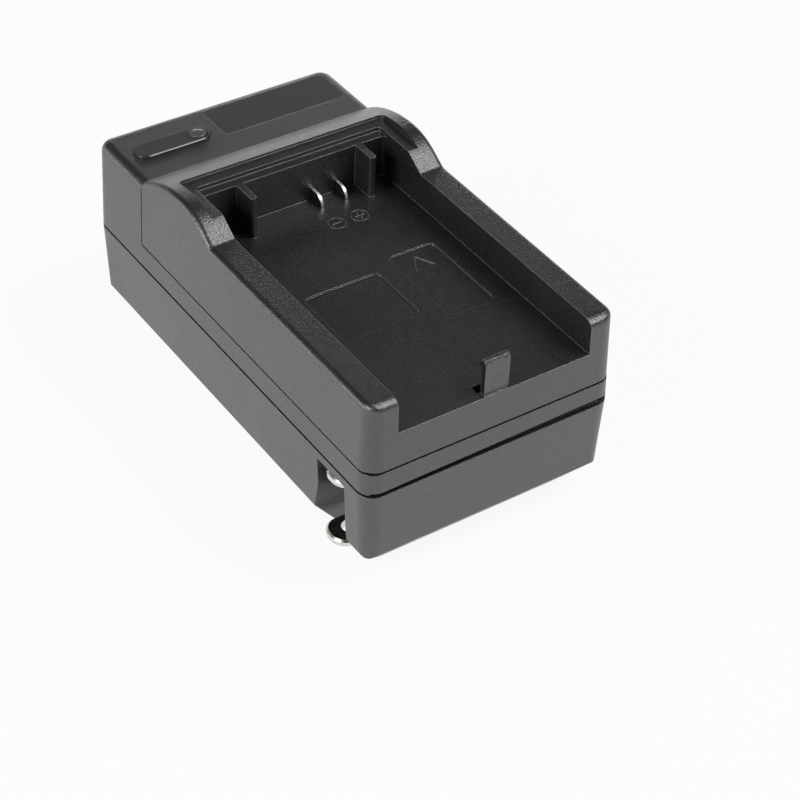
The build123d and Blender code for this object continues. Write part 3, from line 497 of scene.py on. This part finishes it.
# The light line along the film's edge is a painted highlight.
film_with_painted_edge = colour_mix(tree, edges.outputs["Edge"], (0.010, 0.010, 0.010), (0.30, 0.30, 0.30))
dusty = math_node(tree, "MULTIPLY", touch.outputs["Dust"], 0.15)
tree.links.new(colour_mix(tree, dusty, film_with_painted_edge, (0.4, 0.39, 0.37)), shader.inputs["Base Color"])
tree.links.new(ranged(tree, touch.outputs["Smudge"], 0, 1, 0.3, 0.38), shader.inputs["Roughness"])
bump = add_node(tree, "ShaderNodeBump", {"Strength": 1.0, "Distance": 0.012 * MM})
tree.links.new(waves.outputs[0], bump.inputs["Height"])
tree.links.new(edges.outputs["Normal"], bump.inputs["Normal"])
tree.links.new(bump.outputs[0], shader.inputs["Normal"])
finishes["label_film"] = made
print("label film:", len(tree.nodes), "nodes")

# %% [markdown]
# ## Metal
# The blades are stamped brass with nickel on top, the contacts are thin plated sheet, and the screws are
# zinc plated steel. Stamping and tumbling leave fine lines along one direction, so the noise is stretched
# by a Mapping node. Edges are brighter, and the hollows between the lines a little duller. A contact is
# cut from sheet that lies upright along Y: its flat sides get a dark colour, a painted shade, and its cut
# edge a near-white one, a painted highlight, so its colour follows how far the surface faces sideways.

# %% Metal recipe
def plated(name, metal, dull, roughness, line_scale, edge_radius=0.15 * MM, line_depth=0.004 * MM,
           edge_gain=1.12, painted_cut_highlight=False):
    """A plated metal with fine lines; line_scale says how dense the lines are along X, Y and Z."""
    made, tree, shader = new_finish(name)
    shader.inputs["Metallic"].default_value = 1.0
    edges = place_group(tree, edge_group, radius=edge_radius)
    touch = place_group(tree, touch_group, smudge_scale=180.0)
    stretch = add_node(tree, "ShaderNodeMapping", {"Scale": line_scale})
    tree.links.new(add_node(tree, "ShaderNodeTexCoord").outputs["Object"], stretch.inputs["Vector"])
    lines = add_node(tree, "ShaderNodeTexNoise", {"Scale": 1.0, "Detail": 3.0, "Roughness": 0.65})
    tree.links.new(stretch.outputs[0], lines.inputs["Vector"])
    tone = colour_mix(tree, ranged(tree, lines.outputs[0], 0.3, 0.7), dull, metal)
    brighter = tuple(min(1.0, c * edge_gain) for c in metal)
    bright_part = edges.outputs["Edge"]
    # For contacts, where the surface faces along the sheet the colour is painted near white, a painted
    # highlight.
    if painted_cut_highlight:
        facing = add_node(tree, "ShaderNodeSeparateXYZ")
        tree.links.new(add_node(tree, "ShaderNodeNewGeometry").outputs["Normal"], facing.inputs[0])
        bright_part = ranged(tree, math_node(tree, "ABSOLUTE", facing.outputs["X"]), 0.9, 0.5)
    tree.links.new(colour_mix(tree, bright_part, tone, brighter), shader.inputs["Base Color"])
    line_gloss = ranged(tree, lines.outputs[0], 0.3, 0.7, roughness * 1.25, roughness * 0.8)
    finger_gloss = ranged(tree, touch.outputs["Smudge"], 0, 1, 0.0, 0.07)
    tree.links.new(math_node(tree, "ADD", line_gloss, finger_gloss), shader.inputs["Roughness"])
    bump = add_node(tree, "ShaderNodeBump", {"Strength": 1.0, "Distance": line_depth})
    tree.links.new(lines.outputs[0], bump.inputs["Height"])
    if not painted_cut_highlight:
        tree.links.new(edges.outputs["Normal"], bump.inputs["Normal"])
    tree.links.new(bump.outputs[0], shader.inputs["Normal"])
    return made


finishes["blade_metal"] = plated("nickel_blade", (0.80, 0.78, 0.74), (0.62, 0.60, 0.56), 0.24,
                                 (400, 9000, 9000))
# The contact's dark metal colour is painted shade on its flat sides, and edge_gain paints its cut edge near
# white as a highlight.
finishes["contact_metal"] = plated("plated_contact", (0.16, 0.16, 0.155), (0.12, 0.12, 0.115), 0.38,
                                   (9000, 900, 900), edge_radius=0.25 * MM, line_depth=0.0008 * MM,
                                   edge_gain=6.2, painted_cut_highlight=True)
finishes["screw_steel"] = plated("zinc_screw", (0.62, 0.63, 0.65), (0.44, 0.45, 0.47), 0.3, (5000, 5000, 900))
print("metals:", [finishes[k].name for k in ("blade_metal", "contact_metal", "screw_steel")])

# %% [markdown]
# ## Board, tape, sleeves and lamp
# These sit inside the case. The board's green mask lets its copper lanes show through, which a brick
# pattern gives well enough. Tape and sleeves, the fuse's too, are shiny and slightly wrinkled. The lamp
# and the indicator button are clear plastics with a tint.

# %% Finishes inside the case
made, tree, shader = new_finish("green_board")
lanes = add_node(tree, "ShaderNodeTexBrick", {
    "Scale": 1.0, "Mortar Size": 0.0004, "Brick Width": 0.006, "Row Height": 0.0017,
    "Color1": (0.020, 0.115, 0.055, 1), "Color2": (0.024, 0.13, 0.062, 1), "Mortar": (0.012, 0.07, 0.035, 1)})
place = add_node(tree, "ShaderNodeTexCoord").outputs["Object"]
tree.links.new(place, lanes.inputs["Vector"])
weave = add_node(tree, "ShaderNodeTexNoise", {"Scale": 1500.0, "Detail": 2.0})
tree.links.new(place, weave.inputs["Vector"])
tree.links.new(lanes.outputs["Color"], shader.inputs["Base Color"])
tree.links.new(ranged(tree, weave.outputs[0], 0.3, 0.7, 0.28, 0.42), shader.inputs["Roughness"])
bump = add_node(tree, "ShaderNodeBump", {"Strength": 0.6, "Distance": 0.03 * MM})
tree.links.new(lanes.outputs["Fac"], bump.inputs["Height"])
tree.links.new(bump.outputs[0], shader.inputs["Normal"])
finishes["board_laminate"] = made


def wrapped(name, light, dark, roughness, ring_height):
    """A shiny wrapped film: faint rings across its height and a soft wrinkle."""
    made, tree, shader = new_finish(name)
    place = add_node(tree, "ShaderNodeTexCoord").outputs["Object"]
    rings = add_node(tree, "ShaderNodeTexWave",
                     {"Scale": 0.5 / ring_height, "Distortion": 1.2, "Detail": 1.0}, bands_direction="Z")
    wrinkle = add_node(tree, "ShaderNodeTexNoise", {"Scale": 700.0, "Detail": 3.0})
    for texture in (rings, wrinkle):
        tree.links.new(place, texture.inputs["Vector"])
    tree.links.new(colour_mix(tree, rings.outputs["Fac"], dark, light), shader.inputs["Base Color"])
    tree.links.new(ranged(tree, wrinkle.outputs[0], 0.3, 0.7, roughness * 0.8, roughness * 1.3),
                   shader.inputs["Roughness"])
    bump = add_node(tree, "ShaderNodeBump", {"Strength": 0.8, "Distance": 0.03 * MM})
    tree.links.new(wrinkle.outputs[0], bump.inputs["Height"])
    tree.links.new(bump.outputs[0], shader.inputs["Normal"])
    return made


finishes["winding_tape"] = wrapped("yellow_tape", (0.72, 0.50, 0.07), (0.60, 0.40, 0.05), 0.25, 3.0 * MM)
finishes["capacitor_sleeve"] = wrapped("dark_sleeve", (0.03, 0.032, 0.06), (0.02, 0.022, 0.04), 0.22,
                                       6.0 * MM)
finishes["fuse_glass"] = wrapped("fuse_sleeve", (0.46, 0.34, 0.20), (0.36, 0.25, 0.14), 0.3, 2.0 * MM)


def clear_plastic(name, tint, roughness, transmission, cloud_scale):
    """A tinted see-through plastic with slight clouds in its gloss."""
    made, tree, shader = new_finish(name)
    shader.inputs["Transmission Weight"].default_value = transmission
    shader.inputs["IOR"].default_value = 1.5
    clouds = add_node(tree, "ShaderNodeTexNoise", {"Scale": cloud_scale, "Detail": 3.0})
    tree.links.new(add_node(tree, "ShaderNodeTexCoord").outputs["Object"], clouds.inputs["Vector"])
    darker = tuple(c * 0.86 for c in tint)
    tree.links.new(colour_mix(tree, ranged(tree, clouds.outputs[0], 0.3, 0.7), darker, tint),
                   shader.inputs["Base Color"])
    tree.links.new(ranged(tree, clouds.outputs[0], 0.3, 0.7, roughness * 0.8, roughness * 1.3),
                   shader.inputs["Roughness"])
    bump = add_node(tree, "ShaderNodeBump", {"Strength": 0.5, "Distance": 0.008 * MM})
    tree.links.new(clouds.outputs[0], bump.inputs["Height"])
    tree.links.new(bump.outputs[0], shader.inputs["Normal"])
    return made


finishes["lens_plastic"] = clear_plastic("smoked_lens", (0.16, 0.16, 0.155), 0.16, 0.35, 900.0)
finishes["lamp_plastic"] = clear_plastic("lamp_epoxy", (0.78, 0.75, 0.66), 0.10, 0.5, 700.0)
print("finishes for", len(finishes), "material slots")

# %% [markdown]
# Each CAD node names the slot that it takes its finish from. The mesh stays as it is; only the material
# in its slots changes.

# %% Dress the CAD nodes
slot_of = {row["node"]: row["material_slot"] for row in frame["record"]["subparts"]}
for name, piece in frame["nodes"].items():
    for slot in piece.material_slots:
        slot.material = finishes[slot_of[name]]
print("dressed", len(frame["nodes"]), "nodes")

# %% [markdown]
# ## Raised marks in the bay
# The mould leaves small raised signs on the floor of the bay: a minus and a plus, each in a ring, beside
# the contacts, and an arrowhead in the narrow recess that shows which way the battery slides. A texture
# could paint them, but only real height catches the light at its edges. A ring starts as a disc whose
# middle is inset and deleted, and a stroke starts as a flat oblong. All are then extruded upwards and get
# a small bevel on top.

# %% Raised signs
bay_depth = 5.85 * MM
bay_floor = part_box("top_label")[1].z - bay_depth
sign_height = 0.2 * MM
stroke = 0.34 * MM


def lift(piece, height):
    """Extrude a flat piece upwards and round its top edges a little."""
    bpy.ops.mesh.select_all(action="SELECT")
    bpy.ops.mesh.extrude_region_move(TRANSFORM_OT_translate={"value": (0, 0, height)})
    bpy.ops.mesh.select_all(action="SELECT")
    bpy.ops.mesh.normals_make_consistent(inside=False)
    bpy.ops.object.mode_set(mode="OBJECT")
    top = max(vertex.co.z for vertex in piece.data.vertices)
    bpy.ops.object.mode_set(mode="EDIT")
    pick_edges(piece, lambda point: point.z > top - 1e-7)
    bpy.ops.mesh.bevel(offset=height * 0.35, segments=2, affect="EDGES")
    bpy.ops.object.mode_set(mode="OBJECT")


def ring_sign(name, x, y, radius):
    """A raised ring round a sign."""
    start_fresh()
    bpy.ops.mesh.primitive_circle_add(vertices=40, radius=radius, fill_type="NGON",
                                      location=(x, y, bay_floor))
    piece = bpy.context.object
    bpy.ops.object.mode_set(mode="EDIT")
    bpy.ops.mesh.select_all(action="SELECT")
    bpy.ops.mesh.inset(thickness=stroke * 0.8)
    bpy.ops.mesh.delete(type="FACE")
    lift(piece, sign_height)
    return settle(piece, name)


def bar_sign(name, x, y, length, angle):
    """A raised straight stroke."""
    start_fresh()
    bpy.ops.mesh.primitive_plane_add(size=1, location=(x, y, bay_floor), rotation=(0, 0, angle))
    piece = bpy.context.object
    piece.scale = (length, stroke, 1)
    bpy.ops.object.transform_apply(location=False, rotation=False, scale=True)
    bpy.ops.object.mode_set(mode="EDIT")
    lift(piece, sign_height)
    return settle(piece, name)


minus_place, plus_place = (3.24 * MM, 7.45 * MM), (7.78 * MM, 7.40 * MM)
ring_radius, bar_length = 1.7 * MM, 1.9 * MM
signs = [
    ring_sign("sign_ring_minus", *minus_place, ring_radius),
    ring_sign("sign_ring_plus", *plus_place, ring_radius),
    bar_sign("sign_minus", *minus_place, bar_length, 0),
    bar_sign("sign_plus_across", *plus_place, bar_length, 0),
    bar_sign("sign_plus_along", *plus_place, bar_length, math.pi / 2),
]
print("bay floor at", round(bay_floor / MM, 3), "mm;", len(signs), "signs")

# %% [markdown]
# The arrowhead is two strokes that meet at its tip. It lies in a recess, so each stroke is made on the
# bay's floor like the signs and is then let down by the recess's depth. All the marks are one moulding
# with the plate, so they ride with the housing.

# %% Arrowhead
arrow_recess_depth = 0.3 * MM
tip = Vector((9.34 * MM, -7.0 * MM, 0))
reach, drop = 1.85 * MM, 3.5 * MM
for side in (-1, 1):
    foot = tip + Vector((side * reach, -drop, 0))
    middle, along = (tip + foot) / 2, foot - tip
    leg = bar_sign("sign_arrow_" + ("left" if side < 0 else "right"), middle.x, middle.y,
                   along.length + stroke * 0.5, math.atan2(along.y, along.x))
    leg.data.transform(Matrix.Translation((0, 0, -arrow_recess_depth)))
    signs.append(leg)
for piece in signs:
    piece.data.materials.append(relief_wear_and_highlight)
    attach(piece, "housing")
print("signs in all:", len(signs))

# %% [markdown]
# ## The indicator button
# The CAD button is a plain stepped cylinder. The real one is a small dome with a rim, moulded in smoked
# clear plastic. A half profile is drawn as vertices and spun round its axis, which keeps it perfectly
# round.

# %% Indicator button
low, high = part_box("charge_lens")
centre = Vector(((low.x + high.x) / 2, (low.y + high.y) / 2, 0))
flange_radius = (high.x - low.x) / 2
stem_radius = 1.55 * MM
flange_top = low.z + 0.6 * MM
profile = [
    (0, low.z), (flange_radius, low.z), (flange_radius, flange_top), (stem_radius, flange_top),
    (stem_radius, high.z - 0.28 * MM), (stem_radius - 0.08 * MM, high.z - 0.12 * MM),
    (stem_radius - 0.22 * MM, high.z - 0.06 * MM), (stem_radius - 0.36 * MM, high.z - 0.12 * MM),
    (stem_radius - 0.42 * MM, high.z - 0.20 * MM), (stem_radius * 0.6, high.z - 0.07 * MM),
    (stem_radius * 0.3, high.z - 0.015 * MM), (0, high.z),
]
start_fresh()
mesh = bpy.data.meshes.new("indicator_button")
mesh.from_pydata([(centre.x + r, centre.y, z) for r, z in profile],
                 [(k, k + 1) for k in range(len(profile) - 1)], [])
button = bpy.data.objects.new("indicator_button", mesh)
bpy.context.scene.collection.objects.link(button)
work_on(button)
bpy.ops.object.mode_set(mode="EDIT")
bpy.ops.mesh.select_all(action="SELECT")
bpy.ops.mesh.spin(steps=48, angle=2 * math.pi, center=centre, axis=(0, 0, 1))
bpy.ops.mesh.select_all(action="SELECT")
bpy.ops.mesh.remove_doubles(threshold=1e-7)
bpy.ops.mesh.normals_make_consistent(inside=False)
bpy.ops.object.mode_set(mode="OBJECT")
bpy.ops.object.shade_smooth_by_angle(angle=math.radians(50))
button.data.materials.append(finishes["lens_plastic"])
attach(button, "housing")
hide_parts("charge_lens")
print("indicator button:", len(button.data.polygons), "faces")
